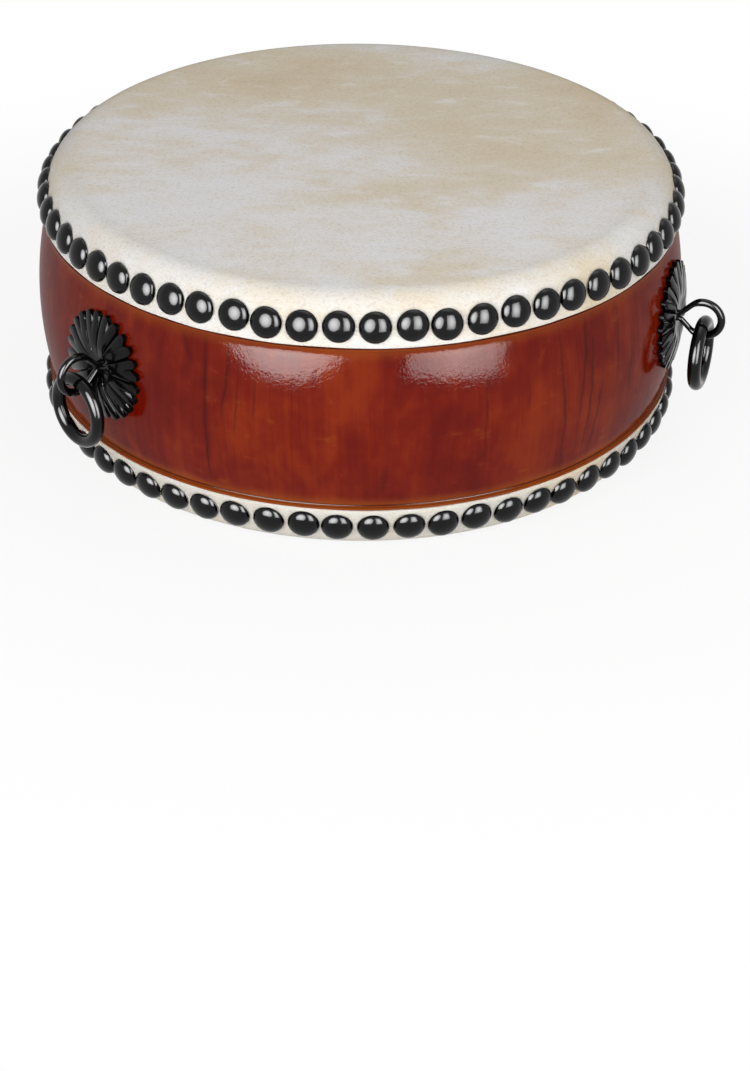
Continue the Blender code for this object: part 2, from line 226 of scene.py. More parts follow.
class Graph:
    """Shader nodes of a material, a world or a lamp, with short calls for the maths between them."""

    def __init__(self, owner: bpy.types.Material | bpy.types.World | bpy.types.Light) -> None:
        """Start from the one shader that a new material, world or lamp has."""
        owner.use_nodes = True
        self.owner = owner
        self.tree = owner.node_tree
        self.shader = next(n for n in self.tree.nodes if not n.bl_idname.startswith("ShaderNodeOutput"))

    def node(self, kind: str, **settings: object) -> bpy.types.Node:
        """New node of a kind, with its settings."""
        made = self.tree.nodes.new(kind)
        for key, value in settings.items():
            setattr(made, key, value)
        return made

    def put(self, socket: bpy.types.NodeSocket, value: object) -> None:
        """Give an input a link or a plain value."""
        if isinstance(value, bpy.types.NodeSocket):
            self.tree.links.new(value, socket)
        else:
            socket.default_value = value

    def math(self, operation: str, *values: object) -> bpy.types.NodeSocket:
        """Result of a Math node."""
        made = self.node("ShaderNodeMath", operation=operation)
        for socket, value in zip(made.inputs, values):
            self.put(socket, value)
        return made.outputs[0]

    def spread(self, value: object, low: float, high: float, to_low: float = 0.0,
               to_high: float = 1.0) -> bpy.types.NodeSocket:
        """Value mapped smoothly from one range to another and held at its ends."""
        made = self.node("ShaderNodeMapRange", interpolation_type="SMOOTHSTEP")
        for name, number in (("From Min", low), ("From Max", high), ("To Min", to_low), ("To Max", to_high)):
            made.inputs[name].default_value = number
        self.put(made.inputs["Value"], value)
        return made.outputs[0]

    def vector(self, x: object, y: object, z: object) -> bpy.types.NodeSocket:
        """Vector of three values."""
        made = self.node("ShaderNodeCombineXYZ")
        for socket, value in zip(made.inputs, (x, y, z)):
            self.put(socket, value)
        return made.outputs[0]

    def noise(self, where: object, scale: float, detail: float = 3.0, roughness: float = 0.5,
              distortion: float = 0.0) -> bpy.types.NodeSocket:
        """Noise from about 0 to 1."""
        made = self.node("ShaderNodeTexNoise")
        self.put(made.inputs["Vector"], where)
        for name, number in (("Scale", scale), ("Detail", detail), ("Roughness", roughness),
                             ("Distortion", distortion)):
            made.inputs[name].default_value = number
        return made.outputs[0]

    def mix(self, factor: object, first: object, second: object, blend: str = "MIX") -> bpy.types.NodeSocket:
        """Mix of two colours."""
        made = self.node("ShaderNodeMix", data_type="RGBA", blend_type=blend)
        for socket, value in ((made.inputs[0], factor), (made.inputs[6], first), (made.inputs[7], second)):
            if isinstance(value, tuple):
                value = (*value, 1.0)
            self.put(socket, value)
        return made.outputs[2]

    def bump(self, height: object, distance: float, strength: float = 1.0,
             under: object = None) -> bpy.types.NodeSocket:
        """Normal of a bumpy surface."""
        made = self.node("ShaderNodeBump")
        made.inputs["Distance"].default_value = distance
        made.inputs["Strength"].default_value = strength
        self.put(made.inputs["Height"], height)
        if under is not None:
            self.put(made.inputs["Normal"], under)
        return made.outputs[0]

    def set(self, name: str, value: object) -> None:
        """Set an input of the shader."""
        if isinstance(value, tuple):
            value = (*value, 1.0)
        self.put(self.shader.inputs[name], value)


@dataclass(frozen=True)
class Streak:
    """A dark mineral streak in a stave: place in degrees and metres, size, slant and depth of tone."""

    angle: float
    height: float
    length: float
    width: float
    slant: float
    tone: float


@dataclass(frozen=True)
class Lacquer:
    """Red-brown transparent lacquer over straight-grained staves."""

    deep: Colour = (0.080, 0.0022, 0.0004)
    body: Colour = (0.108, 0.0048, 0.0006)
    glow: Colour = (0.155, 0.0140, 0.0012)
    amber: Colour = (0.200, 0.0420, 0.0035)
    dark: Colour = (0.022, 0.0018, 0.0008)
    staves: int = 24
    stave_width: float = 0.0543
    crease: float = 0.0517
    edge: float = 0.0547
    streaks: tuple[Streak, ...] = (
        Streak(22.5, 0.000, 0.048, 0.34, -3.0, 0.80),
        Streak(25.5, 0.026, 0.022, 0.26, 5.0, 0.60),
        Streak(28.0, 0.012, 0.020, 0.20, 2.0, 0.45),
        Streak(31.0, 0.018, 0.014, 0.22, 2.0, 0.40),
        Streak(23.5, 0.044, 0.014, 0.55, -16.0, 0.45),
        Streak(53.5, -0.034, 0.010, 0.45, 3.0, 0.40),
        Streak(69.5, 0.002, 0.030, 0.18, 2.0, 0.40),
        Streak(84.5, -0.004, 0.050, 0.30, -9.0, 0.60),
        Streak(88.5, 0.020, 0.034, 0.26, 8.0, 0.65),
        Streak(90.5, 0.002, 0.042, 0.26, 6.0, 0.60),
        Streak(93.0, -0.020, 0.026, 0.30, 9.0, 0.55),
        Streak(97.0, 0.016, 0.034, 0.24, 6.0, 0.45),
        Streak(101.0, 0.000, 0.030, 0.30, 4.0, 0.40),
        Streak(7.0, 0.010, 0.040, 0.28, 4.0, 0.40),
        Streak(151.0, 0.004, 0.046, 0.32, -4.0, 0.60),
        Streak(174.0, 0.020, 0.024, 0.26, 10.0, 0.45),
        Streak(214.0, -0.006, 0.044, 0.36, 5.0, 0.60),
        Streak(262.0, 0.012, 0.036, 0.30, -8.0, 0.50),
        Streak(310.0, 0.000, 0.048, 0.32, 5.0, 0.55),
        Streak(338.0, -0.012, 0.030, 0.26, -7.0, 0.45),
    )

    def streak_mask(self, g: Graph, degrees: object, z: object, wave: object) -> bpy.types.NodeSocket:
        """How dark the streaks are at a point.

        Args:
            g: the material's graph.
            degrees: angle round the drum.
            z: height from mid-height.
            wave: noise that frays their edges.

        Returns:
            A value from 0 to 1.
        """
        total: object = 0.0
        for s in self.streaks:
            across = g.math("SUBTRACT", degrees, s.angle)
            lean = g.math("MULTIPLY", z, s.slant / s.length / 10.0)
            across = g.math("ADD", g.math("SUBTRACT", across, lean), wave)
            across = g.math("DIVIDE", across, s.width)
            along = g.math("DIVIDE", g.math("SUBTRACT", z, s.height), s.length)
            reach = g.math("ADD", g.math("POWER", g.math("ABSOLUTE", across), 1.6),
                           g.math("POWER", g.math("ABSOLUTE", along), 4.0))
            dark = g.math("MULTIPLY", g.math("POWER", math.e, g.math("MULTIPLY", reach, -1.0)), s.tone)
            total = g.math("MAXIMUM", total, dark)
        return total

    def ends(self, g: Graph, colour: object, z: object, cloud: object) -> bpy.types.NodeSocket:
        """Let the lacquer thin to amber towards the skins, stronger towards the lower skin as a painted highlight
        on its upward-facing ledge; paint shade into the groove above the lower skin, and paint the shadow under
        the upper skin's cut edge.

        Args:
            g: the material's graph.
            colour: colour of the wood.
            z: height from mid-height.
            cloud: broad noise.

        Returns:
            The colour with both ends dressed.
        """
        far = g.math("ABSOLUTE", z)
        fade = g.spread(g.math("ADD", far, g.math("MULTIPLY", cloud, 0.006)), 0.047, 0.0575)
        # Amber where the lacquer thins near both skins. At the lower end it is stronger, and that extra is a
        # painted highlight on the upward-facing cove and ledge.
        colour = g.mix(g.math("MULTIPLY", fade, g.spread(z, -0.02, 0.02, 0.9, 0.6)), colour, self.amber)
        # Painted shade: a dark line in the groove where the belly meets the cove above the lower skin.
        groove_shade_distance = g.math("ABSOLUTE", g.math("ADD", z, self.crease + 0.0002))
        colour = g.mix(g.math("MULTIPLY", g.spread(groove_shade_distance, 0.0007, 0.0002), 0.8), colour, self.dark)
        # Painted shadow: the wood turns dark just under the upper skin's cut edge, where that edge shades the
        # shell.
        cut = g.spread(z, self.edge - 0.0012, self.edge - 0.0004)
        return g.mix(g.math("MULTIPLY", cut, 0.7), colour, self.dark)

    def make(self) -> bpy.types.Material:
        """Build the material."""
        g = Graph(bpy.data.materials.new("lacquered_wood"))
        chart = g.node("ShaderNodeUVMap", uv_map="round")
        split = g.node("ShaderNodeSeparateXYZ")
        g.put(split.inputs[0], chart.outputs[0])
        turns, height = split.outputs[0], split.outputs[1]
        z = g.math("SUBTRACT", height, CAD_BOX[1].z / 2)
        place = g.math("ADD", g.math("MULTIPLY", turns, float(self.staves)), 0.5)
        stave = g.math("FLOOR", place)
        across = g.math("SUBTRACT", g.math("FRACT", place), 0.5)
        degrees = g.math("MULTIPLY", turns, 360.0)

        chance = g.node("ShaderNodeTexWhiteNoise", noise_dimensions="1D")
        g.put(chance.inputs["W"], stave)
        shade = chance.outputs[0]
        lean = g.math("MULTIPLY", g.math("SUBTRACT", shade, 0.5), 0.12)
        x = g.math("ADD", g.math("MULTIPLY", across, self.stave_width), g.math("MULTIPLY", z, lean))
        layer = g.math("MULTIPLY", stave, 3.7)

        def grain(along: float, up: float, detail: float) -> bpy.types.NodeSocket:
            """Noise that runs up a stave, with its scale across and along the grain."""
            spot = g.vector(g.math("MULTIPLY", x, along), g.math("MULTIPLY", z, up), layer)
            return g.noise(spot, 1.0, detail, 0.55)

        def cloud(along: float, up: float, level: float) -> bpy.types.NodeSocket:
            """Noise that runs on round the drum, over all staves."""
            spot = g.vector(g.math("MULTIPLY", turns, along), g.math("MULTIPLY", z, up), level)
            return g.noise(spot, 1.0, 3.0, 0.55)

        fibre, band, broad = grain(800.0, 14.0, 3.0), grain(150.0, 6.0, 3.0), cloud(38.0, 20.0, 1.7)
        patch, shimmer = cloud(120.0, 60.0, 4.1), cloud(60.0, 150.0, 7.3)

        tone = g.math("ADD", g.math("MULTIPLY", broad, 0.50), g.math("MULTIPLY", band, 0.20))
        tone = g.math("ADD", tone, g.math("MULTIPLY", patch, 0.22))
        tone = g.math("ADD", tone, g.math("MULTIPLY", fibre, 0.10))
        tone = g.math("ADD", tone, g.math("MULTIPLY", g.math("SUBTRACT", shade, 0.5), 0.06))
        colour = g.mix(g.spread(tone, 0.36, 0.52), self.deep, self.body)
        colour = g.mix(g.spread(tone, 0.47, 0.66), colour, self.glow)
        # Painted glints: amber flecks that stand in for shimmering sheen in the lacquered grain.
        painted_glint = g.math("MULTIPLY", g.spread(shimmer, 0.56, 0.74), g.spread(patch, 0.48, 0.68))
        colour = g.mix(g.math("MULTIPLY", painted_glint, 0.40), colour, self.amber)

        wave = g.math("MULTIPLY", g.math("SUBTRACT", grain(60.0, 45.0, 2.0), 0.5), 1.2)
        mask = self.streak_mask(g, degrees, z, wave)
        colour = g.mix(g.math("MULTIPLY", mask, g.spread(fibre, 0.25, 0.55, 0.70, 1.0)), colour, self.dark)
        seam = g.math("MULTIPLY", g.math("SUBTRACT", 0.5, g.math("ABSOLUTE", across)), self.stave_width)
        joint = g.math("MULTIPLY", g.spread(seam, 0.0005, 0.0001), g.spread(shade, 0.2, 0.9, 0.1, 0.4))
        colour = g.mix(joint, colour, self.deep)

        g.set("Base Color", self.ends(g, colour, z, broad))
        g.set("Roughness", 0.35)
        g.set("Specular IOR Level", 0.0)
        g.set("Coat Weight", 0.25)
        g.set("Coat Roughness", 0.03)
        g.set("Coat IOR", 1.5)
        g.set("Normal", g.bump(fibre, 0.00006, 0.5))
        peel = g.bump(cloud(800.0, 560.0, 0.3), 0.00010, 0.7)
        g.set("Coat Normal", g.bump(cloud(110.0, 60.0, 0.9), 0.0009, 0.2, peel))
        return g.owner


@dataclass(frozen=True)
class Stain:
    """A tan cloud in the rawhide: place along and across the grain, half sizes in metres, and weight."""

    along: float
    across: float
    length: float
    width: float
    weight: float


@dataclass(frozen=True)
class Rawhide:
    """Scraped cowhide: ivory with tan clouds, pores and fine hair marks."""

    name: str
    pale: Colour = (0.690, 0.677, 0.678)
    tan: Colour = (0.612, 0.532, 0.402)
    warm: Colour = (0.500, 0.370, 0.215)
    side: Colour = (0.620, 0.612, 0.600)
    mark: Colour = (0.300, 0.225, 0.140)
    grain: float = math.radians(48.45)
    seed: float = 0.0
    stains: tuple[Stain, ...] = (
        Stain(-0.060, 0.120, 0.160, 0.055, 0.75),
        Stain(0.010, 0.040, 0.090, 0.060, 0.35),
        Stain(0.090, 0.020, 0.050, 0.075, 0.50),
        Stain(0.165, 0.060, 0.045, 0.090, 0.70),
        Stain(0.010, -0.060, 0.070, 0.035, 0.30),
        Stain(0.142, -0.154, 0.026, 0.024, 1.00),
    )

    def clouds(self, g: Graph, along: object, across: object) -> bpy.types.NodeSocket:
        """Sum of the stains at a point.

        Args:
            g: the material's graph.
            along: distance along the grain.
            across: distance across it.

        Returns:
            The sum, 0 far from every stain.
        """
        total: object = 0.0
        for stain in self.stains:
            u = g.math("DIVIDE", g.math("SUBTRACT", along, stain.along), stain.length)
            v = g.math("DIVIDE", g.math("SUBTRACT", across, stain.across), stain.width)
            far = g.math("ADD", g.math("MULTIPLY", u, u), g.math("MULTIPLY", v, v))
            soft = g.math("POWER", math.e, g.math("MULTIPLY", far, -1.0))
            total = g.math("ADD", total, g.math("MULTIPLY", soft, stain.weight))
        return total

    def make(self) -> bpy.types.Material:
        """Build the material."""
        g = Graph(bpy.data.materials.new(self.name))
        where = g.node("ShaderNodeTexCoord").outputs["Object"]
        split = g.node("ShaderNodeSeparateXYZ")
        g.put(split.inputs[0], where)
        x, y, z = split.outputs
        along = g.math("ADD", g.math("MULTIPLY", x, math.cos(self.grain)),
                       g.math("MULTIPLY", y, math.sin(self.grain)))
        across = g.math("SUBTRACT", g.math("MULTIPLY", y, math.cos(self.grain)),
                        g.math("MULTIPLY", x, math.sin(self.grain)))
        radius = g.math("SQRT", g.math("ADD", g.math("MULTIPLY", x, x), g.math("MULTIPLY", y, y)))

        def texture(long: float, wide: float, detail: float, level: float) -> bpy.types.NodeSocket:
            """Noise with its scale along and across the grain."""
            spot = g.vector(g.math("ADD", g.math("MULTIPLY", along, long), self.seed + level),
                            g.math("MULTIPLY", across, wide), g.math("MULTIPLY", z, wide))
            return g.noise(spot, 1.0, detail, 0.6, 0.4)

        broad, patch = texture(5.0, 9.0, 5.0, 0.0), texture(14.0, 22.0, 4.0, 3.0)
        wisp = texture(40.0, 90.0, 4.0, 7.0)
        fleck, pore = texture(420.0, 760.0, 2.0, 11.0), texture(800.0, 1500.0, 2.0, 17.0)
        cloud = g.math("MULTIPLY", self.clouds(g, along, across), 0.42)
        cloud = g.math("ADD", cloud, g.math("MULTIPLY", broad, 0.60))
        cloud = g.math("ADD", cloud, g.math("MULTIPLY", patch, 0.45))
        cloud = g.math("ADD", cloud, g.math("MULTIPLY", wisp, 0.45))
        face = g.spread(radius, 0.192, 0.170)
        colour = g.mix(face, self.side, self.pale)
        colour = g.mix(g.math("MULTIPLY", g.spread(cloud, 0.66, 1.04), 0.90), colour, self.tan)
        colour = g.mix(g.math("MULTIPLY", g.spread(cloud, 0.98, 1.32), 0.40), colour, self.warm)
        colour = g.mix(g.math("MULTIPLY", g.spread(fleck, 0.50, 0.66), 0.22), colour, self.mark)
        colour = g.mix(g.math("MULTIPLY", g.spread(pore, 0.50, 0.64), 0.16), colour, self.mark)
        colour = g.mix(g.math("MULTIPLY", g.spread(wisp, 0.42, 0.28), 0.30), colour, (0.72, 0.71, 0.71))
        g.set("Base Color", colour)
        g.set("Roughness", 0.7)
        g.set("Specular IOR Level", 0.0)
        wrinkle = g.bump(patch, 0.0016, 0.25)
        g.set("Normal", g.bump(fleck, 0.0005, 0.35, g.bump(pore, 0.0003, 0.40, wrinkle)))
        return g.owner


@dataclass(frozen=True)
class BlackGloss:
    """Black enamel on iron, with faint unevenness."""

    name: str
    colour: Colour = (0.0012, 0.0012, 0.0014)
    roughness: float = 0.08
    texture: float = 0.10
    specular: float = 0.20

    def make(self) -> bpy.types.Material:
        """Build the material."""
        g = Graph(bpy.data.materials.new(self.name))
        where = g.node("ShaderNodeTexCoord").outputs["Object"]
        uneven = g.noise(where, 190.0, 3.0, 0.55)
        wear = g.noise(where, 900.0, 2.0, 0.5)
        g.set("Base Color", g.mix(g.spread(wear, 0.55, 0.75), self.colour, tuple(c * 2.2 for c in self.colour)))
        g.set("Roughness", g.spread(uneven, 0.3, 0.7, self.roughness * 0.8, self.roughness * 1.5))
        g.set("Specular IOR Level", self.specular)
        g.set("Normal", g.bump(uneven, 0.0006, self.texture))
        return g.owner


# The drum's pieces

@dataclass
class Barrel:
    """The ring of glued staves, shown as one smooth bellied shell."""

    height: float = 0.170
    belly_radius: float = 0.2075
    belly_drop: float = 0.0062
    mid_wall: float = 0.0175
    rim_wall: float = 0.026
    lip_radius: float = 0.2032
    lip_height: float = 0.0015
    cove_height: float = 0.0012
    skin_depth: float = 0.0303
    gap: float = 0.0003
    columns: int = 384
    rows: int = 36
    staves: int = 24
    finish: Lacquer = field(default_factory=Lacquer)

    @property
    def half(self) -> float:
        """Half the drum's height."""
        return self.height / 2

    @property
    def edge(self) -> float:
        """Height of a skin's trimmed edge from mid-height."""
        return self.half - self.skin_depth

    @property
    def crease(self) -> float:
        """Height from mid-height where the belly meets the cove."""
        return self.edge - self.gap - self.lip_height - self.cove_height

    def belly(self, z: float) -> float:
        """Outer radius at a height from mid-height."""
        return self.belly_radius - self.belly_drop * (z / self.crease) ** 2

    def upper(self, hide: "Hide") -> Outline:
        """Upper end of the outline, from the crease to the inner edge of the rim.

        Args:
            hide: the skin that this end carries.

        Returns:
            Points of radius and height from mid-height.
        """
        foot = self.belly(self.crease)
        depth = self.lip_radius - foot
        cove = [(self.lip_radius - depth * math.cos(t), self.crease + self.cove_height * math.sin(t))
                for t in [math.pi / 2 * i / 8 for i in range(9)]]
        top = self.edge - self.gap
        inner = hide.thickness + self.gap
        land = [(self.lip_radius, top - 0.0002), (self.lip_radius - 0.0003, top), (hide.side(top, inner), top)]
        roll = list(reversed(hide.line(inner)[:-1]))
        return cove + land + roll + [(self.lip_radius - self.rim_wall, self.half - inner - 0.002)]

    def build(self, hide: "Hide") -> bpy.types.Object:
        """Turn the shell and dress it.

        Args:
            hide: the skins' shape, which the shell's ends follow.

        Returns:
            The shell, in place of all staves.
        """
        upper = self.upper(hide)
        belly = [(self.belly(z), z) for z in
                 [self.crease * (1 - 2 * i / self.rows) for i in range(1, self.rows)]]
        inner = [(self.belly_radius - self.mid_wall, -0.018), (self.belly_radius - self.mid_wall, 0.018)]
        outline = list(reversed(upper)) + belly + [(r, -z) for r, z in upper] + inner
        profile = [(r, z + self.half) for r, z in outline]
        shell = show("barrel_shell", turned(profile, self.columns), self.finish.make())
        shell.data.set_sharp_from_angle(angle=math.radians(40))
        return seat(shell, "drum", [f"stave_{i + 1:02d}" for i in range(self.staves)])


@dataclass
class Hide:
    """One skin: flat over the mouth, rolled over the rim, cut off on the side."""

    half: float = 0.085
    lip_radius: float = 0.2032
    depth: float = 0.0303
    thickness: float = 0.002
    roll: float = 0.016
    tilt: float = math.radians(12.8)
    columns: int = 480
    waver: float = 0.0005
    pucker: float = 0.00022
    tacks: int = 60
    tack_drop: float = 0.018

    @property
    def edge(self) -> float:
        """Height of the cut edge from mid-height."""
        return self.half - self.depth

    @property
    def roll_z(self) -> float:
        """Height of the roll's centre from mid-height."""
        return self.half - self.roll

    @property
    def roll_radius(self) -> float:
        """Radius of the roll's centre from the axis."""
        slope = (self.roll_z - self.edge) * math.tan(self.tilt)
        return self.lip_radius - self.roll / math.cos(self.tilt) - slope

    def side(self, z: float, depth: float) -> float:
        """Radius of the sloping side at a height, a depth under the outer face."""
        lean = (self.roll_z - z) * math.tan(self.tilt)
        return self.roll_radius + (self.roll - depth) / math.cos(self.tilt) + lean

    def line(self, depth: float) -> Outline:
        """Points from the flat face over the rim to the cut edge, a depth under the outer face."""
        roll = arc((self.roll_radius, self.roll_z), self.roll - depth, math.pi / 2, self.tilt, 12)
        side = [(self.side(z, depth), z) for z in
                [self.roll_z + self.roll * math.sin(self.tilt) * (1 - s) + (self.edge - self.roll_z) * s
                 for s in (0.4, 0.6, 0.8, 1.0)]]
        return roll + side

    def build(self, head: Head, finish: Rawhide, seed: int) -> bpy.types.Object:
        """Make one skin.

        Args:
            head: which end it closes.
            finish: its rawhide.
            seed: seed of the wavering cut.

        Returns:
            The skin, in place of its CAD node.
        """
        dice = random.Random(seed)
        waves = [(n, dice.uniform(0.2, 1.0) / math.sqrt(n), dice.uniform(0, 2 * math.pi)) for n in range(3, 32)]
        total = sum(abs(w[1]) for w in waves) / 2.5

        def bend(r: float, z: float, angle: float) -> tuple[float, float]:
            """Let the cut edge waver and draw the side in at each tack."""
            low = smoothstep(self.roll_z, self.edge, z)
            swing = sum(a * math.sin(n * angle + p) for n, a, p in waves) / total * self.waver
            near = math.exp(-((z - (self.half - self.tack_drop)) / 0.009) ** 2)
            wave = 0.5 + 0.5 * math.cos(self.tacks * angle)
            pull = self.pucker * near * wave if r > self.roll_radius else 0.0
            return r - pull, z + low * swing

        outer = [(0.0, self.half), (0.06, self.half), (0.12, self.half), (0.16, self.half)] + self.line(0.0)
        under = self.half - self.thickness
        inner = [(0.0, under), (0.06, under), (0.12, under), (0.16, under)] + self.line(self.thickness)
        cut = outer.pop()
        outer += [(cut[0] - 0.0001, cut[1] + 0.0005), (cut[0] - 0.0005, cut[1])]
        bm = turned(outer + list(reversed(inner)), self.columns, bend)
        if head is Head.BOTTOM:
            bmesh.ops.transform(bm, matrix=Matrix.Rotation(math.pi, 4, "Y"), verts=bm.verts)
        bmesh.ops.translate(bm, vec=(0.0, 0.0, self.half), verts=bm.verts)
        name = head.name.lower()
        hide = show(f"{name}_hide", bm, finish.make())
        return seat(hide, "drum", [f"{name}_skin"])


@dataclass
class TackRow:
    """Domed black tacks through one skin."""

    hide: Hide
    count: int = 60
    radius: float = 0.0097
    height: float = 0.0055
    sides: int = 32
    rings: int = 9
    wander: float = 0.0007
    tip: float = math.radians(2.5)

    def dome(self, bm: bmesh.types.BMesh, place: Matrix) -> None:
        """Add one tack head, with a short shank below it.

        Args:
            bm: the row's mesh.
            place: matrix from the tack's own space, with +Z out of the skin.
        """
        profile = [(0.0009, -0.0030), (0.0009, 0.0002), (self.radius * 0.72, 0.0002), (self.radius - 0.0004, 0.0)]
        for k in range(self.rings):
            turn = math.pi / 2 * (k + 0.3) / self.rings
            profile.append((self.radius * math.cos(turn), self.height * math.sin(turn)))
        loops = []
        for r, z in profile:
            loops.append([bm.verts.new(place @ Vector((r * math.cos(t), r * math.sin(t), z)))
                          for t in [2 * math.pi * i / self.sides for i in range(self.sides)]])
        foot = bm.verts.new(place @ Vector((0.0, 0.0, profile[0][1])))
        peak = bm.verts.new(place @ Vector((0.0, 0.0, self.height)))
        for i in range(self.sides):
            j = (i + 1) % self.sides
            for here, there in zip(loops, loops[1:]):
                bm.faces.new((here[i], here[j], there[j], there[i]))
            bm.faces.new((foot, loops[0][j], loops[0][i]))
            bm.faces.new((peak, loops[-1][i], loops[-1][j]))

    def build(self, head: Head, finish: bpy.types.Material, seed: int) -> bpy.types.Object:
        """Make one row of tacks.

        Args:
            head: which skin they hold.
            finish: their black gloss.
            seed: seed of their small errors of place and lean.

        Returns:
            The row, in place of its CAD node.
        """
        dice = random.Random(seed)
        bm = bmesh.new()
        z = self.hide.half - self.hide.tack_drop
        sign = head.value
        for i in range(self.count):
            angle = 2 * math.pi * (i + 0.5) / self.count
            angle += dice.uniform(-1, 1) * self.wander / self.hide.lip_radius
            shift = dice.uniform(-1, 1) * self.wander
            spot_z = z + shift
            out = polar(math.cos(self.hide.tilt), angle, math.sin(self.hide.tilt))
            along = polar(1.0, angle + math.pi / 2)
            down = out.cross(along)
            centre = polar(self.hide.side(spot_z, 0.0) + 0.0003, angle, spot_z)
            lean = Euler((dice.uniform(-1, 1) * self.tip, dice.uniform(-1, 1) * self.tip, 0.0)).to_matrix()
            turn = Matrix((along, down, out)).transposed() @ lean
            place = Matrix.Translation(centre) @ turn.to_4x4()
            if sign < 0:
                place = Matrix.Rotation(math.pi, 4, "Y") @ place
            self.dome(bm, Matrix.Translation((0.0, 0.0, self.hide.half)) @ place)
        name = head.name.lower()
        row = show(f"{name}_tack_row", bm, finish)
        row.data.set_sharp_from_angle(angle=math.radians(50))
        return seat(row, "drum", [f"{name}_tacks"])


@dataclass
class Handle:
    """Flower plate, split pin and loose ring at one place on the belly."""

    barrel: Barrel
    index: int
    rise: float = 0.0065
    plate_radius: float = 0.0348
    edge: float = 0.0012
    tip: float = 0.0028
    crest: float = 0.0045
    hub: float = 0.003
    petals: int = 12
    samples: int = 28
    rings: int = 22
    eye_radius: float = 0.0115
    eye_wire: float = 0.0050
    leg_wire: float = 0.0036
    leg_angle: float = math.radians(45.0)
    leg_bend: float = 0.003
    tail: float = 0.014
    ring_radius: float = 0.0198
    ring_wire: float = 0.0084
    play: float = 0.0005
    gap: float = 0.0003

    @property
    def angle(self) -> float:
        """Its place round the drum."""
        return 2 * math.pi * (self.index - 1) / 3

    @property
    def reach(self) -> float:
        """How far the eye's centre stands out from the plate's seat."""
        x = self.leg_bend * math.sin(self.leg_angle)
        y = self.leg_offset + self.leg_bend * (1 - math.cos(self.leg_angle))
        rise = (self.eye_radius - y * math.cos(self.leg_angle)) / math.sin(self.leg_angle)
        return self.hub + self.gap + x + rise

    @property
    def leg_offset(self) -> float:
        """Height of each leg's centre above or below the pin's middle."""
        return self.leg_wire / 2 + self.gap / 2

    def place(self) -> Matrix:
        """Matrix from the handle's own space: x along the belly, y inward, z up from the hub."""
        seat_radius = self.barrel.belly(self.rise) + self.gap
        spot = polar(seat_radius, self.angle, self.barrel.half + self.rise)
        return Matrix.Translation(spot) @ Matrix.Rotation(self.angle, 4, "Z")

    def seat_depth(self, x: float, z: float) -> float:
        """How far the belly lies out from the handle's seat at a point under the plate."""
        radius = self.barrel.belly(self.rise + z)
        return math.sqrt(radius ** 2 - x ** 2) - self.barrel.belly(self.rise)

    def petal_edge(self, share: float) -> float:
        """Outline of one petal: two round lobes with a notch between, as a part of the plate's radius."""
        lobe = math.sin(2 * math.pi * share) ** 2
        notch = max(0.0, 1 - abs(share - 0.5) / 0.16)
        joint = max(0.0, 1 - min(share, 1 - share) / 0.15)
        return 0.965 + 0.035 * lobe - 0.105 * notch ** 1.4 - 0.160 * joint ** 1.3

    def petal_height(self, reach: float, share: float) -> float:
        """Height of the plate's face over its seat.

        Args:
            reach: distance from the middle, as a part of the radius.
            share: place across the petal, from 0 to 1.

        Returns:
            The height in metres.
        """
        if reach < 0.42:
            base = self.hub + (self.crest - self.hub) * smoothstep(0.14, 0.42, reach)
        else:
            base = self.crest - (self.crest - self.tip) * ((reach - 0.42) / 0.58) ** 1.4
        middle = abs(share - 0.5) * 2
        groove = smoothstep(0.84, 1.0, middle) * smoothstep(0.22, 0.48, reach)
        crown = (1 - middle ** 2) * 0.0005 * smoothstep(0.3, 0.6, reach)
        dent = max(0.0, 1 - abs(share - 0.5) / 0.12) * smoothstep(0.70, 0.95, reach) * 0.0007
        return max(self.edge * 0.7, base + crown - groove * 0.0018 - dent)

    def build_plate(self, finish: bpy.types.Material) -> bpy.types.Object:
        """Make the flower plate.

        Args:
            finish: its black gloss.

        Returns:
            The plate, in place of its CAD node.
        """
        bm = bmesh.new()
        count = self.petals * self.samples
        rows = []
        for k in range(1, self.rings + 1):
            reach = k / self.rings
            row = []
            for i in range(count):
                share = (i % self.samples) / self.samples
                turn = 2 * math.pi * i / count
                radius = self.plate_radius * reach * (1 + (self.petal_edge(share) - 1) * reach ** 3)
                x, z = radius * math.cos(turn), radius * math.sin(turn)
                row.append(bm.verts.new((x, -(self.seat_depth(x, z) + self.petal_height(reach, share)), z)))
            rows.append(row)
        wall = []
        for part, lift in ((0.992, 0.35), (0.975, 0.0)):
            row = []
            for i in range(count):
                turn = 2 * math.pi * i / count
                radius = self.plate_radius * self.petal_edge((i % self.samples) / self.samples) * part
                x, z = radius * math.cos(turn), radius * math.sin(turn)
                row.append(bm.verts.new((x, -(self.seat_depth(x, z) + self.edge * lift), z)))
            wall.append(row)
        back = []
        for part in (0.7, 0.4):
            row = []
            for i in range(count):
                turn = 2 * math.pi * i / count
                x, z = self.plate_radius * part * math.cos(turn), self.plate_radius * part * math.sin(turn)
                row.append(bm.verts.new((x, -self.seat_depth(x, z), z)))
            back.append(row)
        loops = rows + wall + back
        front, rear = bm.verts.new((0.0, -self.hub, 0.0)), bm.verts.new((0.0, 0.0, 0.0))
        for i in range(count):
            j = (i + 1) % count
            for here, there in zip(loops, loops[1:]):
                bm.faces.new((here[i], here[j], there[j], there[i]))
            bm.faces.new((front, loops[0][j], loops[0][i]))
            bm.faces.new((rear, loops[-1][i], loops[-1][j]))
        bmesh.ops.transform(bm, matrix=self.place(), verts=bm.verts)
        plate = show(f"flower_plate_{self.index}", bm, finish)
        plate.data.set_sharp_from_angle(angle=math.radians(38.0))
        return seat(plate, "drum", [f"plate_{self.index}"])

